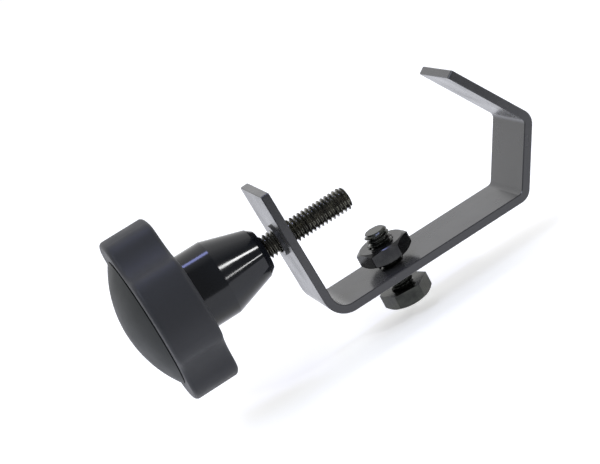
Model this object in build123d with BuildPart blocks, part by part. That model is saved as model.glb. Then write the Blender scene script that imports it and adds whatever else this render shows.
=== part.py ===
"""Hook clamp for a round tube: a bent flat strip, a hand screw with a four-lobed
knob that closes it, and a hex bolt with its nut that carries the accessory.

Frame: the origin is the axis of a tube seated in the hook, +X runs from the knob to
the hook, +Y along the tube and +Z from the strip's base towards its open mouth.
All sizes are in millimetres.
"""

import os
from math import cos, hypot, radians, sin, sqrt, tan

from build123d import *

# Bent strip: flange, base, arm and lip, measured along its inner face
strip_width = 23.0
strip_thickness = 2.75
flange_height = 43.2
flange_angle = 92.0
base_length = 68.2
arm_angle = 60.0
arm_length = 22.6
lip_angle = 123.5
lip_length = 29.2
flange_bend_radius = 5.0
hook_bend_radius = 2.0
strip_corner_radius = 0.8
strip_edge_break = 0.25

# Tube that the clamp is made for
tube_radius = 24.15

# Clamp screw, 5/16 inch, 18 threads to the inch
thread_radius = 3.97
running_clearance = 0.05
screw_height = 25.75
screw_reach = 21.3
screw_length = 63.5
screw_head_flats = 12.7
screw_head_thickness = 5.2
tip_chamfer = 0.8
collar_radius = 5.3
collar_height = 0.9

# Knob: lobed rim, hub behind it and domed cap in front
rim_radius = 27.4
lobe_count = 4
first_valley_angle = 33.0
valley_radius = 13.0
valley_depth = 3.6
valley_shoulder_radius = 7.0
rim_thickness = 15.3
rim_edge_radius = 1.4
rim_back_to_tip = 56.7
hub_radius = 12.4
hub_straight = 10.2
hub_end_radius = 8.2
hub_cone = 13.7
hub_nose_radius = 6.6
hub_nose = 2.0
cap_recess_radius = 19.4
cap_recess_depth = 3.0
cap_radius = 21.3
cap_height = 6.6
cap_gap = 0.3
cap_skirt_radius = 19.0
cap_skirt_wall = 1.6
cap_skirt_depth = 2.2
cap_wall = 2.0
cap_crown_radius = 4.0

# Mounting bolt and nut through the base
bolt_from_flange = 23.9
bolt_hole_radius = 4.2
bolt_length = 20.1
bolt_above_base = 11.9
bolt_head_flats = 14.3
bolt_head_thickness = 5.1
bolt_head_turn = 47.0
nut_flats = 15.3
nut_thickness = 5.1
nut_gap = 2.4
nut_turn = 44.0
hex_chamfer_angle = 30.0

# How far a cut runs past the faces it goes through
cut_overrun = 1.0


def along(start, angle, length):
    """The point at that length and angle from start, in the strip's side view."""
    return (start[0] + length * cos(radians(angle)), start[1] + length * sin(radians(angle)))


# Side view of the strip's inner face, from the corner of flange and base
arm_foot = along((0, 0), 0, base_length)
hook_corner = along(arm_foot, arm_angle, arm_length)
lip_end = along(hook_corner, lip_angle, lip_length)
flange_end = along((0, 0), flange_angle, flange_height)

# The tube rests on the base and under the lip, which fixes the origin
lip = radians(lip_angle)
seat_x = hook_corner[0] - (tube_radius - (tube_radius - hook_corner[1]) * cos(lip)) / sin(lip)
seat_z = tube_radius


def from_seat(point):
    """A side-view point, moved so that the tube's axis is the origin."""
    return (point[0] - seat_x, point[1] - seat_z)


screw_z = screw_height - seat_z
screw_tip_x = screw_reach - seat_x
flange_at_screw = from_seat(along((0, 0), flange_angle, screw_height / sin(radians(flange_angle))))[0]
knob_back_x = screw_tip_x - rim_back_to_tip
knob_front_x = knob_back_x - rim_thickness
head_seat_x = screw_tip_x - screw_length
bolt_x = bolt_from_flange - seat_x
base_top_z = -seat_z
base_bottom_z = base_top_z - strip_thickness
nut_bottom_z = base_top_z + nut_gap
bolt_end_z = base_top_z + bolt_above_base
bolt_head_top_z = bolt_end_z - bolt_length

os.makedirs("parts", exist_ok=True)


def across_x(x):
    """A plane square to the screw, whose normal points from the knob to the hook."""
    return Plane((x, 0, screw_z), x_dir=(0, 1, 0), z_dir=(1, 0, 0))


def screw_side_view():
    """The plane that holds the screw's axis: local x runs along it, local y is up."""
    return Plane((0, 0, screw_z), x_dir=(1, 0, 0), z_dir=(0, -1, 0))


def bolt_side_view():
    """The plane that holds the bolt's axis: local x is the radius, local y is up."""
    return Plane((bolt_x, 0, 0), x_dir=(1, 0, 0), z_dir=(0, -1, 0))


def on_rim(corner):
    """Whether a corner of the knob's outline lies on its full radius."""
    return hypot(corner.X, corner.Y) > rim_radius - 0.01


def hex_corner(flats):
    """Radius of a hexagon's corners from its width across flats."""
    return flats / sqrt(3)


def chamfer_drop(flats):
    """How far a hexagon's corners are turned down by its chamfer."""
    return (hex_corner(flats) - flats / 2) * tan(radians(hex_chamfer_angle))


# Hook strip: one flat bar bent three times
with BuildPart() as hook_strip:
    with BuildSketch(Plane.XZ) as side_view:
        with BuildLine() as inner_face:
            Polyline(
                from_seat(flange_end),
                from_seat((0, 0)),
                from_seat(arm_foot),
                from_seat(hook_corner),
                from_seat(lip_end),
            )
            corners = inner_face.vertices().sort_by_distance((-seat_x, -seat_z, 0))
            fillet(corners[0], flange_bend_radius)
            hook_corners = inner_face.vertices().group_by(Axis.X)[-1]
            fillet(hook_corners, hook_bend_radius)
            foot = inner_face.vertices().sort_by_distance((*from_seat(arm_foot), 0))[0]
            fillet(foot, hook_bend_radius)
            offset(amount=strip_thickness, side=Side.RIGHT)
        make_face()
    extrude(amount=strip_width / 2, both=True)
    across_ends = lambda edge: abs(edge.length - strip_thickness) < 0.01
    fillet(hook_strip.edges().filter_by(across_ends), strip_corner_radius)
    with BuildSketch(across_x(flange_at_screw - strip_thickness - collar_height)):
        Circle(collar_radius)
    extrude(amount=strip_thickness / 2 + collar_height)
    with BuildSketch(across_x(flange_at_screw)):
        Circle(thread_radius + running_clearance)
    extrude(amount=3 * strip_thickness, both=True, mode=Mode.SUBTRACT)
    with BuildSketch(Plane.XY.offset(base_bottom_z - cut_overrun)):
        with Locations((bolt_x, 0)):
            Circle(bolt_hole_radius)
    extrude(amount=strip_thickness + 2 * cut_overrun, mode=Mode.SUBTRACT)
    long_edges = hook_strip.edges().filter_by(Axis.X)
    chamfer(long_edges.filter_by(lambda edge: edge.length > base_length / 2), strip_edge_break)

# Clamp screw: hex head held in the knob, threaded shank through the flange
with BuildPart() as clamp_screw:
    with BuildSketch(across_x(head_seat_x)):
        RegularPolygon(radius=hex_corner(screw_head_flats), side_count=6)
    extrude(amount=-screw_head_thickness)
    with BuildSketch(across_x(head_seat_x)):
        Circle(thread_radius)
    extrude(amount=screw_length)
    chamfer(clamp_screw.faces().sort_by(Axis.X)[-1].edges(), tip_chamfer)

# Knob body: a lobed rim with a tapered hub, moulded in one piece
with BuildPart() as knob_body:
    with BuildSketch(across_x(knob_back_x)) as rim_outline:
        Circle(rim_radius)
        valley_centre = rim_radius - valley_depth + valley_radius
        with PolarLocations(valley_centre, lobe_count, start_angle=first_valley_angle):
            Circle(valley_radius, mode=Mode.SUBTRACT)
        fillet(rim_outline.vertices().filter_by(on_rim), valley_shoulder_radius)
    extrude(amount=-rim_thickness)
    rim_edges = knob_body.faces().filter_by(Axis.X).edges()
    fillet(rim_edges, rim_edge_radius)
    with BuildSketch(screw_side_view()):
        with BuildLine():
            Polyline(
                (knob_back_x - rim_thickness / 2, 0),
                (knob_back_x - rim_thickness / 2, hub_radius),
                (knob_back_x + hub_straight, hub_radius),
                (knob_back_x + hub_straight + hub_cone, hub_end_radius),
                (knob_back_x + hub_straight + hub_cone + hub_nose, hub_nose_radius),
                (knob_back_x + hub_straight + hub_cone + hub_nose, 0),
                close=True,
            )
        make_face()
    revolve(axis=Axis((0, 0, screw_z), (1, 0, 0)))
    with BuildSketch(across_x(knob_front_x)):
        Circle(cap_recess_radius)
    extrude(amount=cap_recess_depth, mode=Mode.SUBTRACT)
    with BuildSketch(across_x(knob_front_x)):
        RegularPolygon(radius=hex_corner(screw_head_flats) + running_clearance, side_count=6)
    extrude(amount=head_seat_x - knob_front_x, mode=Mode.SUBTRACT)
    with BuildSketch(across_x(knob_front_x)):
        Circle(thread_radius + running_clearance)
    extrude(amount=screw_length, mode=Mode.SUBTRACT)

# Knob cap: a shallow dome with a skirt that snaps into the knob's recess
dome_radius = (cap_radius**2 + cap_height**2) / (2 * cap_height)
cap_base_x = knob_front_x - cap_gap
with BuildPart() as knob_cap:
    with BuildSketch(screw_side_view()):
        with BuildLine():
            RadiusArc((cap_base_x - cap_height, 0), (cap_base_x, cap_radius), dome_radius)
            Polyline(
                (cap_base_x, cap_radius),
                (cap_base_x, cap_skirt_radius),
                (cap_base_x + cap_skirt_depth, cap_skirt_radius),
                (cap_base_x + cap_skirt_depth, cap_skirt_radius - cap_skirt_wall),
                (cap_base_x - cap_wall / 2, cap_skirt_radius - cap_skirt_wall),
                (cap_base_x - cap_height + cap_wall, cap_crown_radius),
                (cap_base_x - cap_height + cap_wall, 0),
                (cap_base_x - cap_height, 0),
            )
        make_face()
    revolve(axis=Axis((0, 0, screw_z), (1, 0, 0)))

# Mounting bolt: hex head under the base, its end inside the hook
with BuildPart() as mounting_bolt:
    with BuildSketch(Plane.XY.offset(bolt_head_top_z)):
        with Locations((bolt_x, 0)):
            RegularPolygon(radius=hex_corner(bolt_head_flats), side_count=6, rotation=bolt_head_turn)
    extrude(amount=-bolt_head_thickness)
    with BuildSketch(bolt_side_view()):
        head_bottom_z = bolt_head_top_z - bolt_head_thickness
        with BuildLine():
            Polyline(
                (0, bolt_head_top_z),
                (hex_corner(bolt_head_flats), bolt_head_top_z),
                (hex_corner(bolt_head_flats), head_bottom_z + chamfer_drop(bolt_head_flats)),
                (bolt_head_flats / 2, head_bottom_z),
                (0, head_bottom_z),
                close=True,
            )
        make_face()
    revolve(axis=Axis((bolt_x, 0, 0), (0, 0, 1)), mode=Mode.INTERSECT)
    with BuildSketch(Plane.XY.offset(bolt_head_top_z)):
        with Locations((bolt_x, 0)):
            Circle(thread_radius)
    extrude(amount=bolt_length)
    chamfer(mounting_bolt.faces().sort_by(Axis.Z)[-1].edges(), tip_chamfer)

# Mounting nut: hexagon chamfered on both faces, turning on the bolt
with BuildPart() as mounting_nut:
    with BuildSketch(Plane.XY.offset(nut_bottom_z)):
        with Locations((bolt_x, 0)):
            RegularPolygon(radius=hex_corner(nut_flats), side_count=6, rotation=nut_turn)
    extrude(amount=nut_thickness)
    with BuildSketch(bolt_side_view()):
        nut_top_z = nut_bottom_z + nut_thickness
        with BuildLine():
            Polyline(
                (thread_radius + running_clearance, nut_bottom_z),
                (nut_flats / 2, nut_bottom_z),
                (hex_corner(nut_flats), nut_bottom_z + chamfer_drop(nut_flats)),
                (hex_corner(nut_flats), nut_top_z - chamfer_drop(nut_flats)),
                (nut_flats / 2, nut_top_z),
                (thread_radius + running_clearance, nut_top_z),
                close=True,
            )
        make_face()
    revolve(axis=Axis((bolt_x, 0, 0), (0, 0, 1)), mode=Mode.INTERSECT)

hook_strip.part.label = "hook_strip"
export_step(hook_strip.part, "parts/hook_strip.step")
knob_body.part.label = "knob_body"
export_step(knob_body.part, "parts/knob_body.step")
knob_cap.part.label = "knob_cap"
export_step(knob_cap.part, "parts/knob_cap.step")
clamp_screw.part.label = "clamp_screw"
export_step(clamp_screw.part, "parts/clamp_screw.step")
mounting_bolt.part.label = "mounting_bolt"
export_step(mounting_bolt.part, "parts/mounting_bolt.step")
mounting_nut.part.label = "mounting_nut"
export_step(mounting_nut.part, "parts/mounting_nut.step")
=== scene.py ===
"""Hook clamp with a lobed hand screw, on a pale floor in soft light.

The CAD frame gives the strip, knob and cap. The screw, bolt and nut are replaced by
meshes with real threads and chamfered hexagons, in the same places.
"""

from math import cos, floor, pi, radians, sin, tan

import bmesh
import bpy
from mathutils import Matrix, Vector


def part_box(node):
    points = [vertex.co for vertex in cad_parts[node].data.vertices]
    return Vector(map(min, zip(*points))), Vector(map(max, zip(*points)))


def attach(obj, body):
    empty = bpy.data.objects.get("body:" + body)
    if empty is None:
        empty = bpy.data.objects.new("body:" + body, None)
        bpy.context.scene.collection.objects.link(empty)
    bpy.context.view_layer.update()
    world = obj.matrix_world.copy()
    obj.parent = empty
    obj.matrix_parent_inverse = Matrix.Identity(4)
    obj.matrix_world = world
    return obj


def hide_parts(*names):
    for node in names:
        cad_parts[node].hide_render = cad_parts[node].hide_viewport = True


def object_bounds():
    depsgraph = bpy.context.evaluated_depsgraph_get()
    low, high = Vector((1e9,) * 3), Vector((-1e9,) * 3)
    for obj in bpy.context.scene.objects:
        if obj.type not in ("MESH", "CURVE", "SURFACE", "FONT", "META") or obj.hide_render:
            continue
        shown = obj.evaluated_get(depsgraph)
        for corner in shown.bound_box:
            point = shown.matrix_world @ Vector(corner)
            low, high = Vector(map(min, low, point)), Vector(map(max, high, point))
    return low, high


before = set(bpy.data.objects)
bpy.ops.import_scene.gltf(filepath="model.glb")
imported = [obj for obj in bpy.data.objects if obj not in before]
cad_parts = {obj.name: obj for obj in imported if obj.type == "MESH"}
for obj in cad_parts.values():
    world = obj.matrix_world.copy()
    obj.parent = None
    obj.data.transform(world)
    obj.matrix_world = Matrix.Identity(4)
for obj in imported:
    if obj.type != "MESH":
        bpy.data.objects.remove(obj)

cad_low, cad_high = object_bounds()

MM = 0.001

# Thread, 5/16 inch with 18 threads to the inch, and how far its shanks reach into hub and head
THREAD_RADIUS = 3.95 * MM
THREAD_PITCH = 25.4 / 18 * MM
THREAD_DEPTH = 0.613 * THREAD_PITCH
CREST_SHARE = 0.14
ROOT_SHARE = 0.2
TURN_SEGMENTS = 56
RINGS_PER_PITCH = 14
TIP_CHAMFER = 0.8 * MM
SHANK_IN_HUB = 4.0 * MM
SHANK_IN_HEAD = 0.5 * MM

# Hexagons. A face is flat inside a circle, a share of the width across flats.
HEX_CHAMFER = tan(radians(30))
HEX_CORNER_RADIUS = 0.4 * MM
SIDE_STEPS = 12
CORNER_STEPS = 4
FACE_SHARE = 0.95
FACE_MIDDLE_SHARE = 0.55
BOLT_HEAD_FLATS = 14.3 * MM
BOLT_HEAD_THICKNESS = 5.1 * MM
BOLT_HEAD_TURN = radians(17.0)
UNDER_HEAD_RADIUS = 0.7 * THREAD_RADIUS
NUT_FLATS = 15.3 * MM
NUT_TURN = radians(14.0)
NUT_BORE_RADIUS = THREAD_RADIUS + 0.07 * MM
NUT_COUNTERSINK = 0.5 * MM

# Edges that turn by more than this stay sharp
SHARP_ANGLE = radians(30)

# Noise: features per metre, levels of detail, and the values that its tints and gloss run between
PAINT_CLOUD = 90.0
PAINT_PEEL = 1400.0
PLASTIC_CLOUD = 120.0
PLASTIC_GRAIN = 2600.0
PLATING_CLOUD = 350.0
PLATING_RIPPLE = 1800.0
FLOOR_CLOUD = 8.0
FINE_DETAIL = 2.0
PLASTIC_DETAIL = 3.0
STEEL_DETAIL = 4.0
CLOUD_RANGE = (0.3, 0.7)
PLATING_CLOUD_RANGE = (0.35, 0.75)

# Bumps: distance and strength
PAINT_BUMP = (0.02 * MM, 0.4)
RIM_BUMP = (0.03 * MM, 0.6)
CAP_BUMP = (0.03 * MM, 0.5)
PLATING_BUMP = (0.02 * MM, 0.6)

# Strip paint
PAINT_DARK = (0.033, 0.033, 0.035)
PAINT_LIGHT = (0.042, 0.042, 0.044)
PAINT_ROUGHNESS = (0.19, 0.3)

# Knob plastic. The polished hub starts a little behind the rim.
RIM_THICKNESS = 15.3 * MM
HUB_START = RIM_THICKNESS + 0.1 * MM
HUB_BLEND = 0.3 * MM
RIM_COLOUR = (0.02, 0.021, 0.025)
HUB_COLOUR = (0.006, 0.007, 0.009)
RIM_ROUGHNESS = (0.5, 0.6)
HUB_POLISH = 0.44
KNOB_IOR = 1.42

# Cap plastic
CAP_DARK = (0.015, 0.017, 0.017)
CAP_LIGHT = (0.02, 0.022, 0.022)
CAP_ROUGHNESS = (0.46, 0.56)
CAP_IOR = 1.3

# Plating: dark colour, light colour and least roughness of each piece
PLATING_METALLIC = 0.75
PLATING_ROUGHNESS_SPREAD = 0.1
SCREW_PLATING = ((0.035, 0.035, 0.03), (0.17, 0.165, 0.13), 0.1)
BOLT_PLATING = ((0.025, 0.026, 0.023), (0.06, 0.063, 0.053), 0.13)
NUT_PLATING = ((0.02, 0.02, 0.021), (0.045, 0.045, 0.043), 0.1)

# Floor: its drop below the clamp, its half width in metres, and Y where its front part ends
FLOOR_GAP = 5.0 * MM
FLOOR_HALF = 6.0
FLOOR_SPLIT = -0.16
FLOOR_DARK = (0.9, 0.9, 0.9)
FLOOR_LIGHT = (0.92, 0.92, 0.92)
FLOOR_GLOW = 0.4

# Surroundings: their strength at the front and back, and the directions' Y between the two
WORLD_STRENGTH = (0.22, 1.1)
WORLD_TURN = (-0.35, 0.3)

# Lights: name, place from the hub in metres, size in metres, power in watts, colour
LIGHTS = [
    ("key", (0.649, -0.576, 0.497), (0.14, 0.1), 1.5, (1, 1, 1)),
    ("side", (0.65, -0.74, 0.02), (0.08, 0.05), 0.3, (1, 1, 1)),
    ("overhead", (0.124, 0.149, 0.982), (0.3, 0.12), 1.3, (0.4, 0.45, 1.0)),
    ("window", (-0.55, -0.5, 0.95), (0.5, 0.5), 5.0, (0.76, 0.83, 1.0)),
]
AIM_FROM_HUB_END = 12.0 * MM

# Camera, in the clamp's own frame
CAMERA_PLACE = Vector((-125.05, -419.1, 130.9)) * MM
CAMERA_AIM = Vector((-44.25, 0.0, 0.05)) * MM
CAMERA_ROLL = radians(-28.97)
CAMERA_LENS = 88.0


# ---------------------------------------------------------------- node helpers


def node(tree, kind, values=None, **settings):
    """A new node, with its settings by name and its inputs' values by socket."""
    made = tree.nodes.new(kind)
    for name, setting in settings.items():
        setattr(made, name, setting)
    for socket, value in (values or {}).items():
        made.inputs[socket].default_value = value
    return made


def new_material(name, values=None):
    """A material's node tree and shader, with even values set on the shader."""
    material = bpy.data.materials.new(name)
    material.use_nodes = True
    shader = material.node_tree.nodes["Principled BSDF"]
    for socket, value in (values or {}).items():
        shader.inputs[socket].default_value = value
    return material, material.node_tree, shader


def noise(tree, coordinates, scale, detail):
    """A noise texture on the given coordinates."""
    made = node(tree, "ShaderNodeTexNoise", {"Scale": scale, "Detail": detail})
    tree.links.new(coordinates, made.inputs["Vector"])
    return made.outputs["Fac"]


def spread(tree, value, target, source=CLOUD_RANGE):
    """The value, taken from the source range into the target range and held inside it."""
    made = node(tree, "ShaderNodeMapRange", clamp=True)
    made.inputs["From Min"].default_value, made.inputs["From Max"].default_value = source
    made.inputs["To Min"].default_value, made.inputs["To Max"].default_value = target
    tree.links.new(value, made.inputs["Value"])
    return made.outputs["Result"]


def maths(tree, operation, first, second):
    """A maths node over two sockets or numbers."""
    made = node(tree, "ShaderNodeMath", operation=operation)
    for socket, value in zip(made.inputs, (first, second)):
        if isinstance(value, (int, float)):
            socket.default_value = value
        else:
            tree.links.new(value, socket)
    return made.outputs[0]


def blend_colours(tree, factor, first, second):
    """One colour turning into another as the factor grows."""
    made = node(tree, "ShaderNodeMix", data_type="RGBA")
    colour_inputs = [socket for socket in made.inputs if socket.type == "RGBA"]
    colour_inputs[0].default_value = (*first, 1)
    colour_inputs[1].default_value = (*second, 1)
    tree.links.new(factor, made.inputs[0])
    return next(socket for socket in made.outputs if socket.type == "RGBA")


def bump(tree, shader, height, distance, strength):
    """Sets a bump on the shader from a height."""
    made = node(tree, "ShaderNodeBump", {"Strength": strength, "Distance": distance})
    tree.links.new(height, made.inputs["Height"])
    tree.links.new(made.outputs["Normal"], shader.inputs["Normal"])


def object_place(tree):
    """The surface point in the row frame, in metres."""
    return node(tree, "ShaderNodeTexCoord").outputs["Object"]


# ------------------------------------------------------------------- materials


def strip_material():
    """Satin black paint on flat steel: fine orange peel and slightly uneven gloss."""
    material, tree, shader = new_material("satin_black_paint")
    place = object_place(tree)
    cloud = noise(tree, place, PAINT_CLOUD, STEEL_DETAIL)
    tree.links.new(spread(tree, cloud, PAINT_ROUGHNESS), shader.inputs["Roughness"])
    tint = blend_colours(tree, cloud, PAINT_DARK, PAINT_LIGHT)
    tree.links.new(tint, shader.inputs["Base Color"])
    bump(tree, shader, noise(tree, place, PAINT_PEEL, FINE_DETAIL), *PAINT_BUMP)
    return material


def knob_material():
    """Charcoal moulded plastic: a finely textured rim and a polished hub."""
    material, tree, shader = new_material("charcoal_plastic", {"IOR": KNOB_IOR})
    place = object_place(tree)
    split = node(tree, "ShaderNodeSeparateXYZ")
    tree.links.new(place, split.inputs[0])
    hub_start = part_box("knob_body")[0].x + HUB_START
    on_hub = spread(tree, split.outputs["X"], (0, 1), (hub_start, hub_start + HUB_BLEND))
    cloud = noise(tree, place, PLASTIC_CLOUD, PLASTIC_DETAIL)
    rim_roughness = spread(tree, cloud, RIM_ROUGHNESS)
    roughness = maths(tree, "SUBTRACT", rim_roughness, maths(tree, "MULTIPLY", on_hub, HUB_POLISH))
    tree.links.new(roughness, shader.inputs["Roughness"])
    tint = blend_colours(tree, on_hub, RIM_COLOUR, HUB_COLOUR)
    tree.links.new(tint, shader.inputs["Base Color"])
    grain = noise(tree, place, PLASTIC_GRAIN, FINE_DETAIL)
    height = maths(tree, "MULTIPLY", grain, maths(tree, "SUBTRACT", 1.0, on_hub))
    bump(tree, shader, height, *RIM_BUMP)
    return material


def cap_material():
    """The same plastic as the rim, a little smoother over the dome."""
    material, tree, shader = new_material("charcoal_cap", {"IOR": CAP_IOR})
    place = object_place(tree)
    cloud = noise(tree, place, PLASTIC_CLOUD, PLASTIC_DETAIL)
    tree.links.new(spread(tree, cloud, CAP_ROUGHNESS), shader.inputs["Roughness"])
    tint = blend_colours(tree, cloud, CAP_DARK, CAP_LIGHT)
    tree.links.new(tint, shader.inputs["Base Color"])
    bump(tree, shader, noise(tree, place, PLASTIC_GRAIN, FINE_DETAIL), *CAP_BUMP)
    return material


def plated_material(name, dark, light, gloss):
    """Black plated steel: glossy and a little cloudy, over a faintly rippled surface."""
    material, tree, shader = new_material(name, {"Metallic": PLATING_METALLIC})
    place = object_place(tree)
    cloud = noise(tree, place, PLATING_CLOUD, STEEL_DETAIL)
    tint = blend_colours(tree, spread(tree, cloud, (0, 1), PLATING_CLOUD_RANGE), dark, light)
    tree.links.new(tint, shader.inputs["Base Color"])
    roughness = spread(tree, cloud, (gloss, gloss + PLATING_ROUGHNESS_SPREAD))
    tree.links.new(roughness, shader.inputs["Roughness"])
    bump(tree, shader, noise(tree, place, PLATING_RIPPLE, FINE_DETAIL), *PLATING_BUMP)
    return material


def floor_material():
    """Plain white table top, faintly lit from within so that it stays white."""
    even_values = {
        "Roughness": 0.8,
        "Specular IOR Level": 0.0,
        "Emission Color": (1, 1, 1, 1),
        "Emission Strength": FLOOR_GLOW,
    }
    material, tree, shader = new_material("white_floor", even_values)
    cloud = noise(tree, object_place(tree), FLOOR_CLOUD, FINE_DETAIL)
    tint = blend_colours(tree, cloud, FLOOR_DARK, FLOOR_LIGHT)
    tree.links.new(tint, shader.inputs["Base Color"])
    return material


# ---------------------------------------------------------------------- meshes


def ring_mesh(name, rings, material, filled_ends=True):
    """A mesh skinned over closed rings of points, its ends filled unless they meet."""
    mesh = bpy.data.meshes.new(name)
    shape = bmesh.new()
    loops = [[shape.verts.new(point) for point in ring] for ring in rings]
    for lower, upper in zip(loops, loops[1:]):
        for here in range(len(lower)):
            after = (here + 1) % len(lower)
            shape.faces.new((lower[here], lower[after], upper[after], upper[here]))
    if filled_ends:
        shape.faces.new(reversed(loops[0]))
        shape.faces.new(loops[-1])
    bmesh.ops.recalc_face_normals(shape, faces=shape.faces)
    shape.to_mesh(mesh)
    shape.free()
    mesh.shade_smooth()
    mesh.set_sharp_from_angle(angle=SHARP_ANGLE)
    piece = bpy.data.objects.new(name, mesh)
    bpy.context.scene.collection.objects.link(piece)
    mesh.materials.append(material)
    return piece


def thread_depth_at(share):
    """The thread's depth at a share of its pitch, from 0 on the crests to 1 in the root between."""
    from_root = abs(share - 0.5) * 2
    flank = 1 - CREST_SHARE - ROOT_SHARE
    return min(1.0, max(0.0, (1 - from_root - CREST_SHARE) / flank))


def threaded_rings(start, end):
    """Rings about Z from start to end, cut by a right-hand thread and chamfered at the end."""
    steps = round((end - start) / THREAD_PITCH * RINGS_PER_PITCH)
    rings = []
    for step in range(steps + 1):
        height = start + (end - start) * step / steps
        tip_limit = THREAD_RADIUS - max(0.0, height - (end - TIP_CHAMFER))
        ring = []
        for segment in range(TURN_SEGMENTS):
            angle = 2 * pi * segment / TURN_SEGMENTS
            turns = height / THREAD_PITCH - angle / (2 * pi)
            depth = thread_depth_at(turns - floor(turns)) * THREAD_DEPTH
            radius = min(THREAD_RADIUS - depth, tip_limit)
            ring.append(Vector((radius * cos(angle), radius * sin(angle), height)))
        rings.append(ring)
    return rings


def hex_outline(flats, turn):
    """Points around a hexagon with rounded corners, one of whose sides faces the turn."""
    flat_half = (flats / 2 - HEX_CORNER_RADIUS) * tan(radians(30))
    corner_distance = (flats / 2 - HEX_CORNER_RADIUS) / cos(radians(30))
    outline = []
    for side in range(6):
        middle = turn + side * pi / 3
        turned = Matrix.Rotation(middle, 2)
        for step in range(SIDE_STEPS + 1):
            across = flat_half * (2 * step / SIDE_STEPS - 1)
            outline.append(turned @ Vector((flats / 2, across)))
        centre = turned @ Vector((corner_distance * cos(pi / 6), corner_distance * sin(pi / 6)))
        for step in range(1, CORNER_STEPS):
            angle = middle + pi / 3 * step / CORNER_STEPS
            outline.append(centre + HEX_CORNER_RADIUS * Vector((cos(angle), sin(angle))))
    return outline


def hex_ring(outline, height, chamfer_sign, chamfer_circle):
    """A ring along a hexagon's sides, lowered or raised at the corners by a chamfer."""
    drops = [max(0.0, point.length - chamfer_circle) * HEX_CHAMFER for point in outline]
    return [Vector((p.x, p.y, height + chamfer_sign * drop)) for p, drop in zip(outline, drops)]


def round_ring(outline, radius, height):
    """A circle about Z whose points are in the same directions as the outline's."""
    return [Vector((*(point.normalized() * radius), height)) for point in outline]


def placed(rings, matrix):
    """The rings, moved by a matrix."""
    return [[matrix @ point for point in ring] for ring in rings]


def joined(name, *pieces):
    """Several objects made into one."""
    bpy.ops.object.select_all(action="DESELECT")
    for piece in pieces:
        piece.select_set(True)
    bpy.context.view_layer.objects.active = pieces[0]
    bpy.ops.object.join()
    pieces[0].name = name
    return pieces[0]


# ---------------------------------------------------------------------- pieces


def make_clamp_screw(material):
    """The threaded shank from inside the hub to its chamfered tip."""
    low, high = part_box("clamp_screw")
    axis_z = (low.z + high.z) / 2
    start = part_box("knob_body")[1].x - SHANK_IN_HUB
    along_x = Matrix.Translation((start, 0, axis_z)) @ Matrix.Rotation(radians(90), 4, "Y")
    rings = threaded_rings(0.0, high.x - start)
    piece = ring_mesh("clamp_screw_thread", placed(rings, along_x), material)
    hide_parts("clamp_screw")
    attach(piece, "knob")


def make_mounting_bolt(material):
    """Chamfered hex head and threaded shank, on the nut's axis."""
    low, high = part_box("mounting_bolt")
    nut_low, nut_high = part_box("mounting_nut")
    bottom, top = low.z, low.z + BOLT_HEAD_THICKNESS
    circle = BOLT_HEAD_FLATS / 2 * FACE_SHARE
    outline = hex_outline(BOLT_HEAD_FLATS, BOLT_HEAD_TURN)
    rings = [
        round_ring(outline, circle * FACE_MIDDLE_SHARE, bottom),
        round_ring(outline, circle, bottom),
        hex_ring(outline, bottom, 1, circle),
        hex_ring(outline, top, 0, circle),
        round_ring(outline, UNDER_HEAD_RADIUS, top),
    ]
    move = Matrix.Translation(((nut_low.x + nut_high.x) / 2, 0, 0))
    head_piece = ring_mesh("mounting_bolt_head", placed(rings, move), material)
    shank = threaded_rings(top - SHANK_IN_HEAD, high.z)
    shank_piece = ring_mesh("mounting_bolt_thread", placed(shank, move), material)
    piece = joined("mounting_bolt_threaded", head_piece, shank_piece)
    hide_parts("mounting_bolt")
    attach(piece, "bolt")


def make_mounting_nut(material):
    """Hex nut chamfered on both faces, with a countersunk bore."""
    low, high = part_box("mounting_nut")
    circle = NUT_FLATS / 2 * FACE_SHARE
    bore, sink = NUT_BORE_RADIUS, NUT_COUNTERSINK
    outline = hex_outline(NUT_FLATS, NUT_TURN)
    rings = [
        round_ring(outline, bore, low.z + sink),
        round_ring(outline, bore + sink, low.z),
        round_ring(outline, circle, low.z),
        hex_ring(outline, low.z, 1, circle),
        hex_ring(outline, high.z, -1, circle),
        round_ring(outline, circle, high.z),
        round_ring(outline, bore + sink, high.z),
        round_ring(outline, bore, high.z - sink),
        round_ring(outline, bore, low.z + sink),
    ]
    move = Matrix.Translation(((low.x + high.x) / 2, 0, 0))
    piece = ring_mesh("mounting_nut_chamfered", placed(rings, move), material, filled_ends=False)
    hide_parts("mounting_nut")
    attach(piece, "nut")


def paint(node_name, material):
    """Gives a CAD node its material."""
    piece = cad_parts[node_name]
    if not piece.material_slots:
        piece.data.materials.append(material)
    for material_slot in piece.material_slots:
        material_slot.material = material


# ----------------------------------------------------------------------- stage


def make_floor_piece(name, front, back, material):
    """A level rectangle a little below the clamp, between two places along Y."""
    height = cad_low.z - FLOOR_GAP
    corners = [(-FLOOR_HALF, front), (FLOOR_HALF, front), (FLOOR_HALF, back), (-FLOOR_HALF, back)]
    mesh = bpy.data.meshes.new(name)
    mesh.from_pydata([(x, y, height) for x, y in corners], [], [(0, 1, 2, 3)])
    mesh.materials.append(material)
    piece = bpy.data.objects.new(name, mesh)
    bpy.context.scene.collection.objects.link(piece)
    return piece


def make_floor():
    """A wide white floor, whose front part stays out of reflections, as dark card would."""
    material = floor_material()
    make_floor_piece("floor", FLOOR_SPLIT, FLOOR_HALF, material)
    front = make_floor_piece("floor_front", -FLOOR_HALF, FLOOR_SPLIT, material)
    front.visible_glossy = False


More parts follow.
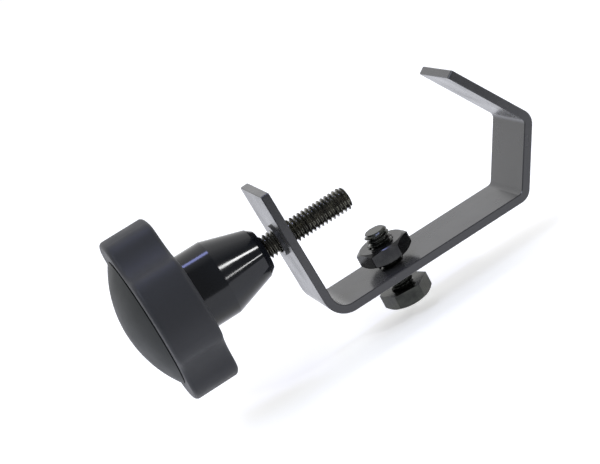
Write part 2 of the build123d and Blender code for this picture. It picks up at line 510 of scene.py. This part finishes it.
def make_area_light(name, place, aim, size, power, colour):
    """A soft rectangular light aimed at a point."""
    data = bpy.data.lights.new(name, "AREA")
    data.shape = "RECTANGLE"
    data.size, data.size_y = size
    data.energy = power
    data.color = colour
    light = bpy.data.objects.new(name, data)
    light.visible_camera = False
    light.location = place
    light.rotation_euler = (aim - place).to_track_quat("-Z", "Y").to_euler()
    bpy.context.scene.collection.objects.link(light)


def make_world():
    """White surroundings that grow dimmer from the back, +Y, to the front."""
    world = bpy.data.worlds.new("white_room")
    world.use_nodes = True
    tree = world.node_tree
    split = node(tree, "ShaderNodeSeparateXYZ")
    tree.links.new(node(tree, "ShaderNodeTexCoord").outputs["Generated"], split.inputs[0])
    strength = spread(tree, split.outputs["Y"], WORLD_STRENGTH, WORLD_TURN)
    tree.links.new(strength, tree.nodes["Background"].inputs["Strength"])
    tree.nodes["Background"].inputs["Color"].default_value = (1, 1, 1, 1)
    bpy.context.scene.world = world


def make_lights():
    """Soft boxes whose reflections run along the hub, a bluish one overhead and a window."""
    hub_low, hub_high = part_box("knob_body")
    hub = Vector((hub_high.x - AIM_FROM_HUB_END, 0, (hub_low.z + hub_high.z) / 2))
    for name, offset, size, power, colour in LIGHTS:
        make_area_light(name, hub + Vector(offset), hub, size, power, colour)


def make_camera():
    """The photograph's viewing direction, rolled as if the clamp lay on its side."""
    data = bpy.data.cameras.new("camera")
    data.lens = CAMERA_LENS
    camera = bpy.data.objects.new("camera", data)
    forward = (CAMERA_AIM - CAMERA_PLACE).normalized()
    level_right = forward.cross(Vector((0, 0, 1))).normalized()
    level_up = level_right.cross(forward)
    right = level_right * cos(CAMERA_ROLL) + level_up * sin(CAMERA_ROLL)
    up = right.cross(forward)
    turn = Matrix((right, up, -forward)).transposed()
    camera.matrix_world = Matrix.Translation(CAMERA_PLACE) @ turn.to_4x4()
    bpy.context.scene.collection.objects.link(camera)
    bpy.context.scene.camera = camera


bpy.context.scene.view_settings.view_transform = "Standard"
make_world()
make_floor()
make_lights()
make_camera()

paint("hook_strip", strip_material())
paint("knob_body", knob_material())
paint("knob_cap", cap_material())
make_clamp_screw(plated_material("black_oxide_screw", *SCREW_PLATING))
make_mounting_bolt(plated_material("black_zinc_bolt", *BOLT_PLATING))
make_mounting_nut(plated_material("black_zinc_nut", *NUT_PLATING))
